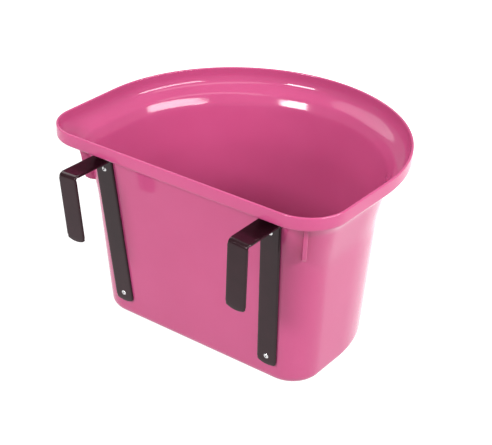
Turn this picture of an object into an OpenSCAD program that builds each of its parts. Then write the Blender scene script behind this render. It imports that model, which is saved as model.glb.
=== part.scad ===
// Hook-over feed bucket: a D-shaped moulded tub with a funnel rim, carried by
// two bent flat-steel hooks that are riveted to its flat side.
// Frame: +Z up, origin on the base at the centre of the round side's arc,
// the flat side and the hooks face -Y, and X runs along the flat side.

/* [Rim] */
// Radius of the round side, over the rim
rim_radius = 195; // [190:0.5:200]
// From the arc's centre to the flat side, over the rim
rim_flat = 133.6; // [131:0.2:136]
// Radius of the two back corners, over the rim
rim_corner = 49; // [46:1:52]
// Inward turn of the straight sides between the arc and the corners, in degrees
side_taper = 1; // [0:0.5:2]

/* [Tub] */
// Overall height of the tub
height = 252; // [240:1:280]
// Wall thickness of the moulding
wall = 3; // [2.6:0.1:3.4]
// Radius of the round side at the base
base_radius = 151.4; // [149:0.2:153]
// From the arc's centre to the flat side at the base
base_flat = 83.6; // [82:0.2:85]
// Radius of the two back corners at the base
base_corner = 38; // [34:1:42]
// Fillet between the walls and the base
base_fillet = 12; // [8:1:16]
// Lean of the flat side from upright, in degrees
back_lean = 5.94; // [5.8:0.02:6.1]
// Draft of the round side below the funnel, in degrees
side_draft = 3.54; // [3.4:0.02:3.7]

/* [Corner ribs] */
// Thickness of the rib under each back corner of the rim
rib_t = 4.5; // [3:0.5:6]
// Direction of the rib, from straight back towards the side, in degrees
rib_turn = 36; // [30:1:45]

/* [Hooks] */
// Width of the steel strap
strap_w = 25; // [22:1:26]
// Thickness of the steel strap
strap_t = 3; // [2.5:0.5:4]
// Inside radius of the bends
bend_r = 2; // [1:0.5:4]
// Length of the riveted strap, from the top of the arm
strap_len = 201; // [198:1:205]
// From the tub's wall to the outside of the leg
hook_reach = 61.8; // [55:0.2:75]
// Length of the leg, from the top of the arm
leg_len = 86.2; // [60:0.2:110]
// Lean of the leg towards the tub, in degrees
leg_lean = 3.9; // [0:0.1:6]
// How far the ends of the strap are rounded outwards
end_bulge = 3; // [1:0.5:5]
// From the rim down to the top of the arm
arm_drop = 28.5; // [28.4:0.1:31]
// From the middle of the tub to each hook, at the arm
hook_x = 117.4; // [112:0.2:118]
// Splay of each hook in the plane of the wall, in degrees
hook_splay = 3.3; // [2.8:0.1:4]

/* [Rivets] */
// Diameter of the rivet sleeve
rivet_d = 3.2; // [3:0.1:4]
// Diameter of the rivet head
head_d = 6.4; // [6:0.2:8]
// Height of the domed head
head_h = 1.2; // [1:0.1:1.6]
// From the top of the arm down to the upper rivet
rivet_high = 15.2; // [15:0.1:18]
// From the top of the arm down to the lower rivet
rivet_low = 189; // [180:1:190]
// Outside diameter of the backing washers
washer_d = 9; // [8:0.5:12]

/* [Hidden] */
$fn = 48;
pink = [0.88, 0.33, 0.56];
black = [0.08, 0.08, 0.09];
silver = [0.80, 0.81, 0.82];
pin_grey = [0.68, 0.69, 0.70];
washer_grey = [0.76, 0.77, 0.78];
left = -1;
right = 1;

arc_steps = 48;
corner_steps = 8;
fillet_steps = 4;
bend_steps = 12;
lip_round = 1.5;
funnel_depth = 90;
wall_top = height - funnel_depth;
wall_top_corner = 46;
clearance = 0.1;
washer_t = 1;
mandrel_d = 0.56 * rivet_d;
bulb_d = 1.5 * rivet_d;
bulb_len = 3;
pin_sunk = 0.5;
pin_ball_d = 1.15 * rivet_d;
pin_ball_len = 1.6;
bend_out = bend_r + strap_t;

// The funnel rim, from the lip down to the wall. Each row is how far in from
// the rim at the round side, how far in at the flat side, the corner radius,
// and how far down from the rim.
inner_funnel = [
    [3.5, 3.5, 45.5, 10.6],
    [4.8, 7.0, 45, 15],
    [6.2, 12.5, 44.5, 18],
    [9, 19, 44, 21],
    [13, 24, 44, 23.5],
    [18, 27.5, 44, 26.6]
];
outer_funnel = [
    [0, 0, 49, 15],
    [1.2, 3, 48.5, 16.8],
    [5, 12, 48, 21],
    [12, 22, 47.5, 26]
];
// Below it the flat side keeps to its own plane, so a row has no second entry.
inner_throat = [
    [20.3, 44, 29],
    [26, 44, 39.2],
    [27.4, 44, 44],
    [30, 44, 56],
    [34, 43.5, 75]
];
outer_throat = [
    [15.5, 47, 28.2],
    [17.9, 47, 30.6],
    [23.3, 47, 40.6],
    [24.8, 47, 45],
    [27.1, 47, 56.6],
    [31, 46.5, 75]
];

// The outer edge of the corner rib: how far out from the centre of the rim's
// corner arc, and how far down from the rim. It starts inside the funnel.
rib_edge = [[18, 27.2], [25.5, 25], [24, 34], [22, 43], [19.5, 65], [17.5, 69.5], [13, 72.5]];
rib_roots = [75, 65, 56.6, 45, 40.6, 30.6];

// One closed outline of the tub: the round side's arc, a back corner, the
// flat side and the other back corner, all tangent to one another.
function corner_at(radius, flat, corner) =
    [(radius - corner - (flat - corner) * sin(side_taper)) / cos(side_taper), corner - flat];
function turn(r, a, c) = [c[0] + r * cos(a), c[1] + r * sin(a)];
function outline(radius, flat, corner, z) =
    let (c = corner_at(radius, flat, corner), sweep = 90 - side_taper)
    concat(
        [for (i = [0 : arc_steps])
            let (a = -side_taper + i * (180 + 2 * side_taper) / arc_steps)
            concat(turn(radius, a, [0, 0]), z)],
        [for (i = [0 : corner_steps])
            concat(turn(corner, 180 + side_taper + i * sweep / corner_steps, [-c[0], c[1]]), z)],
        [for (i = [0 : corner_steps])
            concat(turn(corner, 270 + i * sweep / corner_steps, c), z)]
    );

// The wall below the funnel, and the flat side's plane right up to the rim.
function flat_plane(z) = base_flat + z * tan(back_lean);
function wall_outline(z, inset, flat_inset) =
    outline(
        base_radius + z * tan(side_draft) - inset,
        flat_plane(z) - flat_inset,
        base_corner + (wall_top_corner - base_corner) * z / wall_top - inset,
        z
    );
function funnel_outline(p) =
    outline(rim_radius - p[0], rim_flat - p[1], p[2], height - p[3]);
function throat_outline(p, flat_inset) =
    outline(rim_radius - p[0], flat_plane(height - p[2]) - flat_inset, p[1], height - p[2]);

// Fillets, as turns of an outline from upright to flat.
function base_rings(r, z, inset, flat_inset) = [
    for (i = [0 : fillet_steps])
        let (a = 90 * i / fillet_steps, in = r * (1 - sin(a)))
        let (up = z + r * (1 - cos(a)))
        wall_outline_at(z + r, up, inset + in, flat_inset + in)
];
function wall_outline_at(z_size, z, inset, flat_inset) =
    [for (p = wall_outline(z_size, inset, flat_inset)) [p[0], p[1], z]];
function lip_rings() = [
    for (i = [0 : 2 * fillet_steps])
        let (a = 90 * i / fillet_steps, in = lip_round * (1 - cos(a)))
        outline(rim_radius - in, rim_flat - in, rim_corner - in,
            height - lip_round * (1 - sin(a)))
];
function reversed(v) = [for (i = [len(v) - 1 : -1 : 0]) v[i]];

flat_wall = wall / cos(back_lean);
outer_rings = concat(
    base_rings(base_fillet, 0, 0, 0),
    [wall_outline(wall_top, 0, 0)],
    [for (p = reversed(outer_throat)) throat_outline(p, 0)],
    [for (p = reversed(outer_funnel)) funnel_outline(p)]
);
inner_rings = concat(
    [for (p = inner_funnel) funnel_outline(p)],
    [for (p = inner_throat) throat_outline(p, flat_wall)],
    [wall_outline(wall_top, wall, flat_wall)],
    reversed(base_rings(base_fillet - wall, wall, wall, flat_wall))
);

// A closed skin over a stack of outlines, with the first and last filled in.
module skin(rings) {
    n = len(rings[0]);
    sides = [
        for (k = [0 : len(rings) - 2], i = [0 : n - 1])
            let (j = (i + 1) % n)
            [k * n + i, (k + 1) * n + i, (k + 1) * n + j, k * n + j]
    ];
    first = [for (i = [0 : n - 1]) i];
    last = [for (i = [n - 1 : -1 : 0]) (len(rings) - 1) * n + i];
    polyhedron([for (r = rings) each r], concat([first], sides, [last]), convexity = 6);
}

// How far the tub's outside lies from the centre of the rim's corner arc,
// measured along the rib.
function rib_root(depth) =
    let (
        corner = lookup(depth, [for (p = outer_throat) [p[2], p[1]]]),
        radius = rim_radius - lookup(depth, [for (p = outer_throat) [p[2], p[0]]]),
        rim_centre = corner_at(rim_radius, rim_flat, rim_corner),
        w = rim_centre - corner_at(radius, flat_plane(height - depth), corner),
        along = w * [sin(rib_turn), -cos(rib_turn)]
    )
    sqrt(along * along - w * w + corner * corner) - along;

// The thin upright rib that props the rim at a back corner.
module corner_rib(side) {
    centre = corner_at(rim_radius, rim_flat, rim_corner);
    translate([side * centre[0], centre[1], 0])
        rotate(side * (rib_turn - 90) + (side < 0 ? 180 : 0))
        rotate([90, 0, 0])
        linear_extrude(rib_t, center = true)
        polygon(concat(
            [for (p = rib_edge) [p[0], height - p[1]]],
            [for (d = rib_roots) [rib_root(d) - wall / 2, height - d]]
        ));
}

// Places its children on the flat side: -Y points away from the wall, and -Z
// runs down the middle of the strap from the top of the arm.
module on_flat_side(side, down = 0) {
    z = height - arm_drop;
    translate([side * hook_x, -flat_plane(z), z])
        rotate([back_lean, 0, 0])
        rotate([0, side * hook_splay, 0])
        translate([0, 0, -down])
        children();
}

module rivet_hole(side, down) {
    on_flat_side(side, down)
        rotate([90, 0, 0])
        cylinder(h = 4 * wall, r = rivet_d / 2 + clearance, center = true);
}

module bucket_shell() {
    color(pink)
    difference() {
        union() {
            skin(concat(outer_rings, lip_rings(), inner_rings));
            for (side = [left, right])
                corner_rib(side);
        }
        for (side = [left, right], down = [rivet_high, rivet_low])
            rivet_hole(side, down);
    }
}

function ray(length, angle) = length * [cos(angle), sin(angle)];
function arc(centre, r, from, to) =
    [for (i = [0 : bend_steps]) centre + ray(r, from + i * (to - from) / bend_steps)];

// Cuts the end of a bar that runs along +X to a shallow outward curve.
module end_cut(length) {
    end_r = (strap_w * strap_w / 4 + end_bulge * end_bulge) / (2 * end_bulge);
    rotate([-90, 0, 0])
        difference() {
            translate([length - 2 * end_bulge, -strap_w, bend_r - 1])
                cube([4 * end_bulge, 2 * strap_w, strap_t + 2]);
            translate([length - end_r, 0, 0])
                cylinder(h = 2 * bend_out, r = end_r, $fn = 180);
        }
}

// The hook on XY, with +X away from the wall and +Y up, and the corner
// between the wall and the arm's top at the origin.
module hook_bar() {
    wall_bend = 90 - back_lean;
    leg_bend = 90 + leg_lean;
    wall_run = bend_out * tan(wall_bend / 2);
    leg_run = bend_out * tan(leg_bend / 2);
    wall_centre = [wall_run, -bend_out];
    leg_centre = [hook_reach - leg_run, -bend_out];
    strap = strap_len - wall_run;
    leg = leg_len - leg_run;
    strap_end = wall_centre + ray(strap, 180 + wall_bend);
    leg_end = leg_centre + ray(leg, -leg_bend);
    difference() {
        linear_extrude(strap_w, center = true)
            polygon(concat(
                [strap_end + ray(bend_out, 90 + wall_bend)],
                arc(wall_centre, bend_out, 90 + wall_bend, 90),
                arc(leg_centre, bend_out, 90, 90 - leg_bend),
                [leg_end + ray(bend_out, 90 - leg_bend)],
                [leg_end + ray(bend_r, 90 - leg_bend)],
                arc(leg_centre, bend_r, 90 - leg_bend, 90),
                arc(wall_centre, bend_r, 90, 90 + wall_bend),
                [strap_end + ray(bend_r, 90 + wall_bend)]
            ));
        translate(wall_centre)
            rotate(wall_bend)
            mirror([1, 0, 0])
            end_cut(strap);
        translate(leg_centre)
            rotate(-leg_bend)
            end_cut(leg);
    }
}

module hook_bracket(side) {
    color(black)
    difference() {
        on_flat_side(side)
            rotate([90, 0, -90])
            rotate(back_lean)
            hook_bar();
        for (down = [rivet_high, rivet_low])
            rivet_hole(side, down);
    }
}

// The rivet's own axis: +Z points out of the strap, with 0 under the head.
module on_rivet(side, down) {
    on_flat_side(side, down)
        translate([0, -strap_t, 0])
        rotate([90, 0, 0])
        children();
}

washer_back = -strap_t - wall - washer_t;

module rivet(side, down) {
    head_r = (head_d * head_d / 4 + head_h * head_h) / (2 * head_h);
    color(silver)
    on_rivet(side, down)
    difference() {
        rotate_extrude() {
            intersection() {
                translate([0, head_h - head_r])
                    circle(head_r, $fn = 120);
                square([head_d / 2, head_h]);
            }
            translate([0, washer_back])
                square([rivet_d / 2, -washer_back]);
            translate([0, washer_back - bulb_len])
                square([bulb_d / 2, bulb_len]);
        }
        translate([0, 0, washer_back - bulb_len - 1])
            cylinder(h = bulb_len + head_h - washer_back + 2, r = mandrel_d / 2 + clearance);
    }
}

// The stub of the pulling pin that stays in a set rivet, with its ball end.
module mandrel(side, down) {
    top = head_h - pin_sunk;
    tail = washer_back - bulb_len;
    color(pin_grey)
    on_rivet(side, down)
        rotate_extrude() {
            translate([0, tail])
                square([mandrel_d / 2, top - tail]);
            translate([0, tail - pin_ball_len])
                square([pin_ball_d / 2, pin_ball_len]);
        }
}

module washer(side, down) {
    color(washer_grey)
    on_rivet(side, down)
        translate([0, 0, washer_back])
        difference() {
            cylinder(h = washer_t, d = washer_d);
            translate([0, 0, -washer_t])
                cylinder(h = 3 * washer_t, r = rivet_d / 2 + clearance);
        }
}

bucket_shell();
hook_bracket(left);  // hook_bracket_left
hook_bracket(right);  // hook_bracket_right
rivet(left, rivet_high);  // rivet_left_upper
rivet(left, rivet_low);  // rivet_left_lower
rivet(right, rivet_high);  // rivet_right_upper
rivet(right, rivet_low);  // rivet_right_lower
mandrel(left, rivet_high);  // mandrel_left_upper
mandrel(left, rivet_low);  // mandrel_left_lower
mandrel(right, rivet_high);  // mandrel_right_upper
mandrel(right, rivet_low);  // mandrel_right_lower
washer(left, rivet_high);  // washer_left_upper
washer(left, rivet_low);  // washer_left_lower
washer(right, rivet_high);  // washer_right_upper
washer(right, rivet_low);  // washer_right_lower
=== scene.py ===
import math

import bmesh
import bpy
from mathutils import Matrix, Vector


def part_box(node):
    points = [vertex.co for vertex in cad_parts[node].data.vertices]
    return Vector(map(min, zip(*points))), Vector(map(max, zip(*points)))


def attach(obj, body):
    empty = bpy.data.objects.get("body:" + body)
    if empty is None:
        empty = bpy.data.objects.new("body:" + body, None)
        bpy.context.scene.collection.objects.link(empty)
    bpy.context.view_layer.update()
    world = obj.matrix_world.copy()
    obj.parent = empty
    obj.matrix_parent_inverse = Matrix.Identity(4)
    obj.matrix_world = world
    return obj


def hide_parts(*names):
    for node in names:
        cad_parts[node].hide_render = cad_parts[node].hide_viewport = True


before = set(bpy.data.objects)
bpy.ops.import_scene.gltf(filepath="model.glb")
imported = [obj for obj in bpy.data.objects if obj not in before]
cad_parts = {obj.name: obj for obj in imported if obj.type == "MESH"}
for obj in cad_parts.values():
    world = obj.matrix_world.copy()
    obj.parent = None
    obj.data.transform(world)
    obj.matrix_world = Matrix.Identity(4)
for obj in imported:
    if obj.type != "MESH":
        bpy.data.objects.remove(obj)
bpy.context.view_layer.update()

mm = 0.001


def finishPiece(name, bm, material, nodes):
    mesh = bpy.data.meshes.new(name)
    bm.to_mesh(mesh)
    bm.free()
    mesh.materials.append(material)
    mesh.shade_smooth()
    piece = bpy.data.objects.new(name, mesh)
    bpy.context.scene.collection.objects.link(piece)
    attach(piece, "root")
    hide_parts(*nodes)


def blend(rows, steps):
    # cubic B-spline guided by the rows, starting and ending on the first and last one
    guide = [rows[0]] * 2 + list(rows) + [rows[-1]] * 2
    curve = []
    for i in range(len(guide) - 3):
        a, b, c, d = (Vector(guide[i + k]) for k in range(4))
        for s in range(steps):
            t = s / steps
            curve.append((a * (1 - t) ** 3 + b * (3 * t ** 3 - 6 * t * t + 4)
                          + c * (3 * t * (1 + t - t * t) + 1) + d * t ** 3) / 6)
    return curve + [Vector(rows[-1])]


def vertsOf(geom):
    return [part for part in geom if isinstance(part, bmesh.types.BMVert)]


def spinVert(bm, vert, centre, angle, steps):
    # one arc on from a vertex, about Z; gives the arc's far end
    spun = bmesh.ops.spin(bm, geom=[vert], cent=centre, axis=(0, 0, 1), angle=angle,
                          steps=steps, use_merge=False)
    return vertsOf(spun["geom_last"])[0]


def splitEdges(bm, edges, cuts):
    bmesh.ops.subdivide_edges(bm, edges=edges, cuts=cuts)


def sharpEdges(bm, angle):
    return [edge for edge in bm.edges if edge.calc_face_angle(0) > angle]


def roundOff(bm, edges, radius, steps):
    bmesh.ops.bevel(bm, geom=edges, offset=radius * mm, offset_type="OFFSET",
                    affect="EDGES", segments=steps, profile=0.5, material=-1)


def joinInto(bm, other):
    mesh = bpy.data.meshes.new("part")
    other.to_mesh(mesh)
    other.free()
    bm.from_mesh(mesh)
    bpy.data.meshes.remove(mesh)


tubLow, tubHigh = (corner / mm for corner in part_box("bucket_shell"))

tub = {
    "height": tubHigh.z,
    "rimRadius": tubHigh.x,
    "rimFlat": -tubLow.y,
    "rimCorner": 49,
    "taper": math.radians(1),      # the straight sides turn in a little towards the flat side
    "baseRadius": 151.4,
    "baseFlat": 83.6,
    "baseCorner": 38,
    "draft": math.radians(3.54),
    "lean": math.radians(5.94),    # lean of the flat side
    "wall": 3,
    "baseFillet": 12,
    "lipRound": 1.5,
    "funnel": 90,                  # depth at which the plain wall starts
    "wallCorner": 46,              # corner radius there
    "plainHeights": (14, 30, 60, 90, 120),
    "guideHeights": (135, 150),    # between the plain wall and its top
    "roundSteps": 112,
    "cornerSteps": 16,
    "sideCuts": 7,
    "flatCuts": 25,
    "filletSteps": 7,
    "curveSteps": 3,
    "weld": 1e-6,                  # metres
}

# How far in at the round side and at the flat side, corner radius, depth below the rim.
lipToShelf = [
    (3, 3, 46, 3), (3.2, 3.2, 46, 7), (3.5, 3.5, 45.5, 10.6), (4.8, 7, 45, 15),
    (6.2, 12.5, 44.5, 18), (9, 19, 44, 21), (13, 24, 44, 23.5), (18, 27.5, 44, 26.6),
]
undersideToSkirt = [
    (12, 22, 47.5, 26), (8.5, 17, 47.8, 23.5), (5, 12, 48, 21), (1.6, 3.6, 48.4, 17.2),
    (0.2, 0.5, 49, 15.4), (0, 0, 49, 14), (0, 0, 49, 10),
]
# The same without the flat side, which keeps to its own plane from here down.
throatInside = [
    (20.3, 44, 29), (22.2, 44, 32.4), (24.1, 44, 35.8), (26, 44, 39.2), (27.4, 44, 44),
    (30, 44, 56), (34, 43.5, 75),
]
throatOutside = [
    (31, 46.5, 75), (27.1, 47, 56.6), (24.8, 47, 45), (23.3, 47, 40.6), (21.5, 47, 37.3),
    (19.7, 47, 34), (17.9, 47, 30.6), (15.5, 47, 28.2),
]


def flatAt(z):
    return tub["baseFlat"] + z * math.tan(tub["lean"])


def rimRow(side, back, corner, depth):
    return (tub["rimRadius"] - side, tub["rimFlat"] - back, corner, tub["height"] - depth)


def throatRow(side, corner, depth, thick):
    z = tub["height"] - depth
    flat = flatAt(z) - thick / math.cos(tub["lean"])
    return (tub["rimRadius"] - side, flat, corner, z)


def wallRow(z, thick=0, inset=0, lift=0):
    wallTop = tub["height"] - tub["funnel"]
    corner = tub["baseCorner"] + (tub["wallCorner"] - tub["baseCorner"]) * z / wallTop
    return (tub["baseRadius"] + z * math.tan(tub["draft"]) - thick - inset,
            flatAt(z) - thick / math.cos(tub["lean"]) - inset,
            corner - thick - inset, z - lift)


def filletRows(radius, floorZ, thick):
    rows = []
    for i in range(tub["filletSteps"] + 1):
        turn = math.pi / 2 * i / tub["filletSteps"]
        rows.append(wallRow(floorZ + radius, thick, radius * (1 - math.sin(turn)),
                            radius * math.cos(turn)))
    return rows


def lipRows():
    r = tub["lipRound"]
    rows = []
    for i in range(2 * tub["filletSteps"] + 1):
        turn = math.pi / 2 * i / tub["filletSteps"]
        into = r * (1 - math.cos(turn))
        rows.append(rimRow(into, into, tub["rimCorner"] - into, r * (1 - math.sin(turn))))
    return rows


def cornerCentre(radius, flat, corner):
    y = corner - flat
    x = (radius - corner + y * math.sin(tub["taper"])) / math.cos(tub["taper"])
    return x, y


def arcChain(bm, centre, radius, start, sweep, z, steps):
    first = bm.verts.new((centre[0] + radius * math.cos(start),
                          centre[1] + radius * math.sin(start), z))
    return first, spinVert(bm, first, (*centre, z), sweep, steps)


def outlineLoop(row):
    # one closed outline of the tub, tangent all round, as a small mesh of its own
    radius, flat, corner, z = (value * mm for value in row)
    x, y = cornerCentre(radius, flat, corner)
    taper = tub["taper"]
    quarter = math.pi / 2 - taper
    bm = bmesh.new()
    roundSide = arcChain(bm, (0, 0), radius, -taper, math.pi + 2 * taper, z, tub["roundSteps"])
    leftCorner = arcChain(bm, (-x, y), corner, math.pi + taper, quarter, z, tub["cornerSteps"])
    rightCorner = arcChain(bm, (x, y), corner, -math.pi / 2, quarter, z, tub["cornerSteps"])
    flanks = [bm.edges.new((roundSide[1], leftCorner[0])),
              bm.edges.new((rightCorner[1], roundSide[0]))]
    flatSide = bm.edges.new((leftCorner[1], rightCorner[0]))
    splitEdges(bm, flanks, tub["sideCuts"])
    splitEdges(bm, [flatSide], tub["flatCuts"])
    return bm


def tubRows():
    wallTop = tub["height"] - tub["funnel"]
    wall = tub["wall"]
    innerFillet = tub["baseFillet"] - wall
    outside = (
        filletRows(tub["baseFillet"], 0, 0)
        + [wallRow(z) for z in tub["plainHeights"]]
        + blend([wallRow(z) for z in (*tub["guideHeights"], wallTop)]
                + [throatRow(*row, 0) for row in throatOutside]
                + [rimRow(*row) for row in undersideToSkirt], tub["curveSteps"])
    )
    inside = (
        blend([rimRow(*row) for row in lipToShelf]
              + [throatRow(*row, wall) for row in throatInside]
              + [wallRow(z, wall) for z in (wallTop, *reversed(tub["guideHeights"]))],
              tub["curveSteps"])
        + [wallRow(z, wall) for z in reversed(tub["plainHeights"])]
        + list(reversed(filletRows(innerFillet, wall, wall)))
    )
    return outside + lipRows() + inside


def buildShell():
    bm = bmesh.new()
    loops = []
    for row in tubRows():
        before = len(bm.edges)
        joinInto(bm, outlineLoop(row))
        bm.edges.ensure_lookup_table()
        loops.append(bm.edges[before:])
    for lower, upper in zip(loops, loops[1:]):
        bmesh.ops.bridge_loops(bm, edges=lower + upper)
    for loop in (loops[0], loops[-1]):
        bmesh.ops.contextual_create(bm, geom=loop)
    bmesh.ops.remove_doubles(bm, verts=bm.verts[:], dist=tub["weld"])
    bmesh.ops.recalc_face_normals(bm, faces=bm.faces[:])
    return bm


# The thin upright ribs that prop the rim at the two corners of the flat side.
rib = {
    "thick": 4.5,
    "turn": math.radians(36),
    "edge": [(18, 27.2), (25.5, 25), (24, 34), (22, 43), (19.5, 65), (17.5, 69.5), (13, 72.5)],
    "sharpAngle": 1,
    "softEdge": 0.9,
    "softSteps": 3,
}


def ribRoot(row):
    # where the wall's mid-thickness lies, out from the centre of the rim's corner arc
    radius, flat, corner, z = throatRow(*row, 0)
    rimX, rimY = cornerCentre(tub["rimRadius"], tub["rimFlat"], tub["rimCorner"])
    x, y = cornerCentre(radius, flat, corner)
    offset = Vector((rimX - x, rimY - y))
    along = offset.dot(Vector((math.sin(rib["turn"]), -math.cos(rib["turn"]))))
    out = math.sqrt(along ** 2 - offset.length_squared + corner ** 2) - along
    return out - tub["wall"] / 2, tub["height"] - z


def buildRib(side):
    bm = bmesh.new()
    roots = [ribRoot(row) for row in throatOutside[:-1]]
    outline = rib["edge"] + roots
    verts = [bm.verts.new((out * mm, 0, (tub["height"] - depth) * mm)) for out, depth in outline]
    face = bm.faces.new(verts)
    half = rib["thick"] / 2 * mm
    bmesh.ops.translate(bm, vec=(0, -half, 0), verts=bm.verts[:])
    grown = bmesh.ops.extrude_face_region(bm, geom=[face], use_keep_orig=True)
    bmesh.ops.translate(bm, vec=(0, 2 * half, 0), verts=vertsOf(grown["geom"]))
    bmesh.ops.recalc_face_normals(bm, faces=bm.faces[:])
    roundOff(bm, sharpEdges(bm, rib["sharpAngle"]), rib["softEdge"], rib["softSteps"])
    x, y = cornerCentre(tub["rimRadius"], tub["rimFlat"], tub["rimCorner"])
    turn = rib["turn"] - math.pi / 2 if side > 0 else -math.pi / 2 - rib["turn"]
    place = Matrix.Translation((side * x * mm, y * mm, 0)) @ Matrix.Rotation(turn, 4, "Z")
    bmesh.ops.transform(bm, verts=bm.verts[:], matrix=place)
    return bm


hook = {
    "width": 25,
    "thick": 3,
    "bend": 2,                     # inside radius
    "strap": 201,
    "reach": 61.8,
    "leg": 86.2,
    "legLean": math.radians(3.9),
    "bulge": 3,
    "armDrop": 28.5,
    "x": 117.4,
    "splay": math.radians(3.3),
    "columns": 10,
    "bendSteps": 10,
    "endGap": 1e-6,                # metres, for finding the points on the two end lines
    "edgeGap": 1e-5,               # metres, for finding the edges at the bar's two sides
    "shortEdge": 1.2,              # longest edge with the wider rounding, in thicknesses
    "sharpAngle": 0.9,
    "shortRound": 1.6,
    "shortSteps": 4,
    "softEdge": 0.5,
    "softSteps": 3,
}
rivetDrops = {"upper": 15.2, "lower": 189}
sides = {"left": -1, "right": 1}


def onFlatSide(side, down=0):
    # -Y points away from the wall, and -Z runs down the strap from the top of the arm
    z = tub["height"] - hook["armDrop"]
    return (Matrix.Translation(Vector((side * hook["x"], -flatAt(z), z)) * mm)
            @ Matrix.Rotation(tub["lean"], 4, "X")
            @ Matrix.Rotation(side * hook["splay"], 4, "Y")
            @ Matrix.Translation((0, 0, -down * mm)))


def onRivet(side, down):
    # +Z points out of the strap, with 0 under the head
    return (onFlatSide(side, down) @ Matrix.Translation((0, -hook["thick"] * mm, 0))
            @ Matrix.Rotation(math.pi / 2, 4, "X"))


def ray(length, angle):
    return Vector((math.cos(angle), math.sin(angle), 0)) * length * mm


def stretch(bm, vert, step):
    # one straight run on from a vertex
    tip = bmesh.ops.extrude_vert_indiv(bm, verts=[vert])["verts"]
    bmesh.ops.translate(bm, vec=step, verts=tip)
    return tip[0]


def buildHook(side):
    bm = bmesh.new()
    outer = hook["bend"] + hook["thick"]
    wallBend = math.pi / 2 - tub["lean"]
    legBend = math.pi / 2 + hook["legLean"]
    wallRun = outer * math.tan(wallBend / 2)
    legRun = outer * math.tan(legBend / 2)
    wallCentre = Vector((wallRun, -outer, 0)) * mm
    legCentre = Vector((hook["reach"] - legRun, -outer, 0)) * mm
    strapWay = ray(1, math.pi + wallBend)
    legWay = ray(1, -legBend)
    lastRun = hook["bulge"] * 2

    # the outside line of the bar, seen from the side
    strapEnd = bm.verts.new(wallCentre + strapWay * (hook["strap"] - wallRun)
                            + ray(outer, math.pi / 2 + wallBend))
    tip = stretch(bm, strapEnd, -strapWay * lastRun)
    tip = stretch(bm, tip, -strapWay * (hook["strap"] - wallRun - lastRun))
    tip = spinVert(bm, tip, wallCentre, -wallBend, hook["bendSteps"])
    tip = stretch(bm, tip, legCentre - wallCentre)
    tip = spinVert(bm, tip, legCentre, -legBend, hook["bendSteps"])
    tip = stretch(bm, tip, legWay * (hook["leg"] - legRun - lastRun))
    legEnd = stretch(bm, tip, legWay * lastRun)
    endPoints = [(strapEnd.co.copy(), strapWay), (legEnd.co.copy(), legWay)]

    # its width, in columns, and the outward curve of the two ends
    edges = bm.edges[:]
    halfWidth = hook["width"] / 2 * mm
    bmesh.ops.translate(bm, vec=(0, 0, -halfWidth), verts=bm.verts[:])
    for _ in range(hook["columns"]):
        grown = bmesh.ops.extrude_edge_only(bm, edges=edges)
        edges = [e for e in grown["geom"] if isinstance(e, bmesh.types.BMEdge)]
        bmesh.ops.translate(bm, vec=(0, 0, hook["width"] / hook["columns"] * mm),
                            verts=vertsOf(grown["geom"]))
    for point, way in endPoints:
        for vert in bm.verts:
            if (vert.co.xy - point.xy).length < hook["endGap"]:
                across = vert.co.z / halfWidth
                vert.co -= way * hook["bulge"] * across ** 2
    bmesh.ops.recalc_face_normals(bm, faces=bm.faces[:])
    arm = max(bm.faces, key=lambda f: f.calc_center_median().y)
    if arm.normal.y < 0:
        bmesh.ops.reverse_faces(bm, faces=bm.faces[:])
    bmesh.ops.solidify(bm, geom=bm.faces[:], thickness=hook["thick"] * mm)
    bmesh.ops.recalc_face_normals(bm, faces=bm.faces[:])

    # first the short edges at the bar's two sides, which are at its ends and all round its
    # bends, then every sharp edge that is left
    shortEdges = [edge for edge in sharpEdges(bm, hook["sharpAngle"])
                  if abs(edge.verts[0].co.z - edge.verts[1].co.z) < hook["edgeGap"]
                  and edge.calc_length() < hook["shortEdge"] * hook["thick"] * mm
                  and all(abs(abs(vert.co.z) - halfWidth) < hook["edgeGap"]
                          for vert in edge.verts)]
    roundOff(bm, shortEdges, hook["shortRound"], hook["shortSteps"])
    roundOff(bm, sharpEdges(bm, hook["sharpAngle"]), hook["softEdge"], hook["softSteps"])
    upright = Matrix.Rotation(-math.pi / 2, 4, "Z") @ Matrix.Rotation(math.pi / 2, 4, "X")
    place = onFlatSide(side) @ upright @ Matrix.Rotation(tub["lean"], 4, "Z")
    bmesh.ops.transform(bm, verts=bm.verts[:], matrix=place)
    return bm


# Lathe profiles of the small metal parts: radius, and height above the strap's face.
rivet = {
    "steps": 48,
    "weld": 1e-7,                  # metres
    "sleeve": [
        (1, 0.8), (1.08, 1.02), (1.28, 1.13), (1.8, 1.03), (2.35, 0.76), (2.82, 0.4),
        (3.1, 0.14), (3.17, 0.04), (3.13, 0), (1.6, 0), (1.6, -7), (2.2, -7.02),
        (2.36, -7.3), (2.39, -8.1), (2.28, -9.1), (1.95, -9.75), (1.5, -10), (1, -10),
    ],
    "mandrel": [
        (0, 0.68), (0.36, 0.6), (0.6, 0.7), (0.82, 0.58), (0.89, 0.42), (0.89, -9.9),
        (1.5, -10.05), (1.8, -10.35), (1.8, -10.9), (1.55, -11.3), (1, -11.55), (0, -11.6),
    ],
    "washer": [(1.7, -7), (4.3, -7), (4.48, -6.8), (4.48, -6.2), (4.3, -6), (1.7, -6)],
}


def lathe(profile, place, closed):
    bm = bmesh.new()
    verts = [bm.verts.new((r * mm, 0, z * mm)) for r, z in profile]
    edges = [bm.edges.new(pair) for pair in zip(verts, verts[1:])]
    if closed:
        edges.append(bm.edges.new((verts[-1], verts[0])))
    bmesh.ops.spin(bm, geom=verts + edges, cent=(0, 0, 0), axis=(0, 0, 1), angle=2 * math.pi,
                   steps=rivet["steps"], use_merge=True)
    bmesh.ops.remove_doubles(bm, verts=bm.verts[:], dist=rivet["weld"])
    bmesh.ops.recalc_face_normals(bm, faces=bm.faces[:])
    bmesh.ops.transform(bm, verts=bm.verts[:], matrix=place)
    return bm


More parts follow.
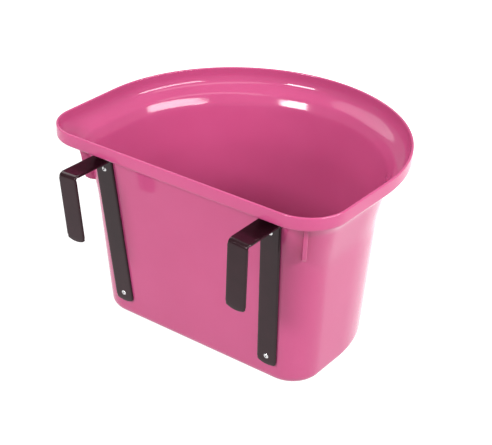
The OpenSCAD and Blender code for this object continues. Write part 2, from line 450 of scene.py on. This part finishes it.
def newMaterial(name):
    material = bpy.data.materials.new(name)
    material.use_nodes = True
    nodes = material.node_tree.nodes
    return material, nodes, material.node_tree.links, nodes["Principled BSDF"]


def noiseOn(nodes, links, coords, scale, detail, roughness):
    noise = nodes.new("ShaderNodeTexNoise")
    noise.inputs["Scale"].default_value = scale
    noise.inputs["Detail"].default_value = detail
    noise.inputs["Roughness"].default_value = roughness
    links.new(coords.outputs["Object"], noise.inputs["Vector"])
    return noise


def rampOn(nodes, links, source, positions, colours):
    ramp = nodes.new("ShaderNodeValToRGB")
    for i in range(2):
        ramp.color_ramp.elements[i].position = positions[i]
        ramp.color_ramp.elements[i].color = colours[i]
    links.new(source, ramp.inputs["Fac"])
    return ramp


def rangeOn(nodes, links, source, low, high, start=0, end=1):
    scale = nodes.new("ShaderNodeMapRange")
    scale.inputs["From Min"].default_value = start
    scale.inputs["From Max"].default_value = end
    scale.inputs["To Min"].default_value = low
    scale.inputs["To Max"].default_value = high
    links.new(source, scale.inputs["Value"])
    return scale


def bumpOn(nodes, links, heights, distance, strength, below=None):
    bump = nodes.new("ShaderNodeBump")
    bump.inputs["Strength"].default_value = strength
    bump.inputs["Distance"].default_value = distance
    links.new(heights, bump.inputs["Height"])
    if below is not None:
        links.new(below.outputs["Normal"], bump.inputs["Normal"])
    return bump


# In every look: a noise is scale, detail, roughness; a bump is distance in metres, strength.
plasticLook = {
    "colours": [(0.352, 0.049, 0.138, 1), (0.372, 0.056, 0.15, 1)],
    "colourStops": (0.35, 0.7),
    "flow": (9, 4, 0.55),
    "patches": (60, 5, 0.6),
    "sheen": (0.07, 0.13),
    "wave": (16, 2, 0.4),
    "waveBump": (0.0012, 0.25),
    "grain": (1400, 2, 0.5),
    "grainBump": (0.00003, 0.35),
    "ior": 1.38,
    "depthWeight": 0.08,
    "depthRadius": (0.006, 0.0015, 0.0025),
}


def tubPlastic():
    material, nodes, links, shader = newMaterial("tubPlastic")
    coords = nodes.new("ShaderNodeTexCoord")
    flow = noiseOn(nodes, links, coords, *plasticLook["flow"])
    tint = rampOn(nodes, links, flow.outputs["Fac"], plasticLook["colourStops"],
                  plasticLook["colours"])
    links.new(tint.outputs["Color"], shader.inputs["Base Color"])
    patches = noiseOn(nodes, links, coords, *plasticLook["patches"])
    gloss = rangeOn(nodes, links, patches.outputs["Fac"], *plasticLook["sheen"])
    links.new(gloss.outputs["Result"], shader.inputs["Roughness"])
    wave = noiseOn(nodes, links, coords, *plasticLook["wave"])
    grain = noiseOn(nodes, links, coords, *plasticLook["grain"])
    waveBump = bumpOn(nodes, links, wave.outputs["Fac"], *plasticLook["waveBump"])
    grainBump = bumpOn(nodes, links, grain.outputs["Fac"], *plasticLook["grainBump"], waveBump)
    links.new(grainBump.outputs["Normal"], shader.inputs["Normal"])
    shader.inputs["IOR"].default_value = plasticLook["ior"]
    shader.inputs["Subsurface Weight"].default_value = plasticLook["depthWeight"]
    shader.inputs["Subsurface Radius"].default_value = plasticLook["depthRadius"]
    shader.inputs["Subsurface Scale"].default_value = 1
    return material


coatLook = {
    "colours": [(0.009, 0.002, 0.0035, 1), (0.014, 0.004, 0.006, 1)],
    "colourStops": (0.35, 0.75),
    "blotch": (70, 4, 0.6),
    "sheen": (0.07, 0.15),
    "peel": (950, 2, 0.5),
    "peelBump": (0.00004, 0.5),
    "ior": 1.36,
    "glint": (1, 0.8, 0.85, 1),
}


def hookCoat():
    material, nodes, links, shader = newMaterial("hookCoat")
    coords = nodes.new("ShaderNodeTexCoord")
    blotch = noiseOn(nodes, links, coords, *coatLook["blotch"])
    tint = rampOn(nodes, links, blotch.outputs["Fac"], coatLook["colourStops"],
                  coatLook["colours"])
    links.new(tint.outputs["Color"], shader.inputs["Base Color"])
    gloss = rangeOn(nodes, links, blotch.outputs["Fac"], *coatLook["sheen"])
    links.new(gloss.outputs["Result"], shader.inputs["Roughness"])
    shader.inputs["IOR"].default_value = coatLook["ior"]
    shader.inputs["Specular Tint"].default_value = coatLook["glint"]
    peel = noiseOn(nodes, links, coords, *coatLook["peel"])
    peelBump = bumpOn(nodes, links, peel.outputs["Fac"], *coatLook["peelBump"])
    links.new(peelBump.outputs["Normal"], shader.inputs["Normal"])
    return material


metalLook = {
    "shade": 0.82,                 # the darker colour, as a share of the metal's own
    "colourStops": (0.3, 0.65),
    "mottle": (700, 4, 0.6),
    "sheenSpread": 0.18,
    "scuffs": (2500, 2, 0.5),
    "scuffBump": (0.00003, 0.4),
}


def bareMetal(name, colour, sheen):
    material, nodes, links, shader = newMaterial(name)
    coords = nodes.new("ShaderNodeTexCoord")
    mottle = noiseOn(nodes, links, coords, *metalLook["mottle"])
    darker = tuple(metalLook["shade"] * c for c in colour[:3]) + (1,)
    tint = rampOn(nodes, links, mottle.outputs["Fac"], metalLook["colourStops"],
                  [darker, colour])
    links.new(tint.outputs["Color"], shader.inputs["Base Color"])
    gloss = rangeOn(nodes, links, mottle.outputs["Fac"], sheen,
                    sheen + metalLook["sheenSpread"])
    links.new(gloss.outputs["Result"], shader.inputs["Roughness"])
    scuffs = noiseOn(nodes, links, coords, *metalLook["scuffs"])
    scuffBump = bumpOn(nodes, links, scuffs.outputs["Fac"], *metalLook["scuffBump"])
    links.new(scuffBump.outputs["Normal"], shader.inputs["Normal"])
    shader.inputs["Metallic"].default_value = 1
    return material


pinkPlastic = tubPlastic()
blackCoat = hookCoat()
rivetMetal = bareMetal("rivetMetal", (0.7, 0.7, 0.71, 1), 0.16)
pinMetal = bareMetal("pinMetal", (0.16, 0.16, 0.165, 1), 0.3)
washerMetal = bareMetal("washerMetal", (0.72, 0.73, 0.74, 1), 0.28)
print("materials made")

shell = buildShell()
for side in sides.values():
    joinInto(shell, buildRib(side))
finishPiece("tubShell", shell, pinkPlastic, ["bucket_shell"])
print("tub made")

for word, side in sides.items():
    finishPiece("hook_" + word, buildHook(side), blackCoat, ["hook_bracket_" + word])
    for level, down in rivetDrops.items():
        place = onRivet(side, down)
        spot = word + "_" + level
        finishPiece("rivetSleeve_" + spot, lathe(rivet["sleeve"], place, True),
                    rivetMetal, ["rivet_" + spot])
        finishPiece("rivetPin_" + spot, lathe(rivet["mandrel"], place, False),
                    pinMetal, ["mandrel_" + spot])
        finishPiece("backWasher_" + spot, lathe(rivet["washer"], place, True),
                    washerMetal, ["washer_" + spot])
print("hooks and rivets made")


studio = {
    "floorSize": 12,
    "floorTint": (0.13, 0.13, 0.13, 1),
    "floorRoughness": 0.9,
    "paintedFloorGlow": (1, 1.36),        # painted light: the floor's glow in front of the tub, and a brighter painted pool of light behind it
    "floorTurn": math.radians(-60),
    "floorFade": (-0.05, 0.25),    # metres from the origin, along the turned X
    "sky": (0.52, 0.6),            # low down, and straight up
    "middle": (0, 0, 0.18),
    # name: round from the flat side and up, in degrees; distance, width, height, watts
    "lights": {
        "sideBox": (96, 32, 1.8, 1.5, 0.42, 38),
        "frontBox": (-9, 32, 1.8, 0.6, 0.36, 31),
        "topBox": (72, 66, 2, 2.4, 0.6, 15),
        "fillBox": (-105, 45, 2.2, 1.6, 1.2, 15),
    },
}


def compass(azimuth, elevation):
    azimuth, elevation = math.radians(azimuth), math.radians(elevation)
    return Vector((math.sin(azimuth) * math.cos(elevation),
                   -math.cos(azimuth) * math.cos(elevation), math.sin(elevation)))


def buildStudio():
    bpy.ops.mesh.primitive_plane_add(size=studio["floorSize"], location=(0, 0, 0))
    floor = bpy.context.object
    floor.name = "floor"
    material, nodes, links, shader = newMaterial("paintedLightFloor")
    shader.inputs["Base Color"].default_value = studio["floorTint"]
    shader.inputs["Roughness"].default_value = studio["floorRoughness"]
    shader.inputs["Emission Color"].default_value = (1, 1, 1, 1)
    coords = nodes.new("ShaderNodeTexCoord")
    turned = nodes.new("ShaderNodeMapping")
    turned.inputs["Rotation"].default_value = (0, 0, studio["floorTurn"])
    links.new(coords.outputs["Object"], turned.inputs["Vector"])
    along = nodes.new("ShaderNodeSeparateXYZ")
    links.new(turned.outputs["Vector"], along.inputs["Vector"])
    # painted light: the floor glows brighter behind the tub than in front, a painted pool of
    # light on it
    glow = rangeOn(nodes, links, along.outputs["X"], *studio["paintedFloorGlow"],
                   *studio["floorFade"])
    links.new(glow.outputs["Result"], shader.inputs["Emission Strength"])
    floor.data.materials.append(material)
    for name, (azimuth, elevation, away, width, height, watts) in studio["lights"].items():
        lamp = bpy.data.lights.new(name, "AREA")
        lamp.shape = "RECTANGLE"
        lamp.size = width
        lamp.size_y = height
        lamp.energy = watts
        light = bpy.data.objects.new(name, lamp)
        way = compass(azimuth, elevation)
        light.location = Vector(studio["middle"]) + way * away
        light.rotation_mode = "QUATERNION"
        light.rotation_quaternion = (-way).to_track_quat("-Z", "Y")
        bpy.context.scene.collection.objects.link(light)
    world = bpy.data.worlds.new("studioSky")
    world.use_nodes = True
    nodes, links = world.node_tree.nodes, world.node_tree.links
    direction = nodes.new("ShaderNodeTexCoord")
    height = nodes.new("ShaderNodeSeparateXYZ")
    links.new(direction.outputs["Generated"], height.inputs["Vector"])
    glow = rangeOn(nodes, links, height.outputs["Z"], *studio["sky"])
    nodes["Background"].inputs["Color"].default_value = (1, 1, 1, 1)
    links.new(glow.outputs["Result"], nodes["Background"].inputs["Strength"])
    bpy.context.scene.world = world
    bpy.context.scene.view_settings.view_transform = "Standard"


camera = {
    "place": (0.7435, -1.0399, 0.8471),
    "azimuth": math.radians(35.25),
    "elevation": math.radians(29.21),
    "roll": math.radians(1.99),
    "lens": 89.94,
    "sensor": 36,
    "clipEnd": 50,
}


def buildCamera():
    data = bpy.data.cameras.new("productCamera")
    data.lens = camera["lens"]
    data.sensor_width = camera["sensor"]
    data.clip_end = camera["clipEnd"]
    view = bpy.data.objects.new("productCamera", data)
    view.matrix_world = (Matrix.Translation(camera["place"])
                         @ Matrix.Rotation(camera["azimuth"], 4, "Z")
                         @ Matrix.Rotation(math.pi / 2 - camera["elevation"], 4, "X")
                         @ Matrix.Rotation(camera["roll"], 4, "Z"))
    bpy.context.scene.collection.objects.link(view)
    bpy.context.scene.camera = view


buildStudio()
buildCamera()
print("studio ready")
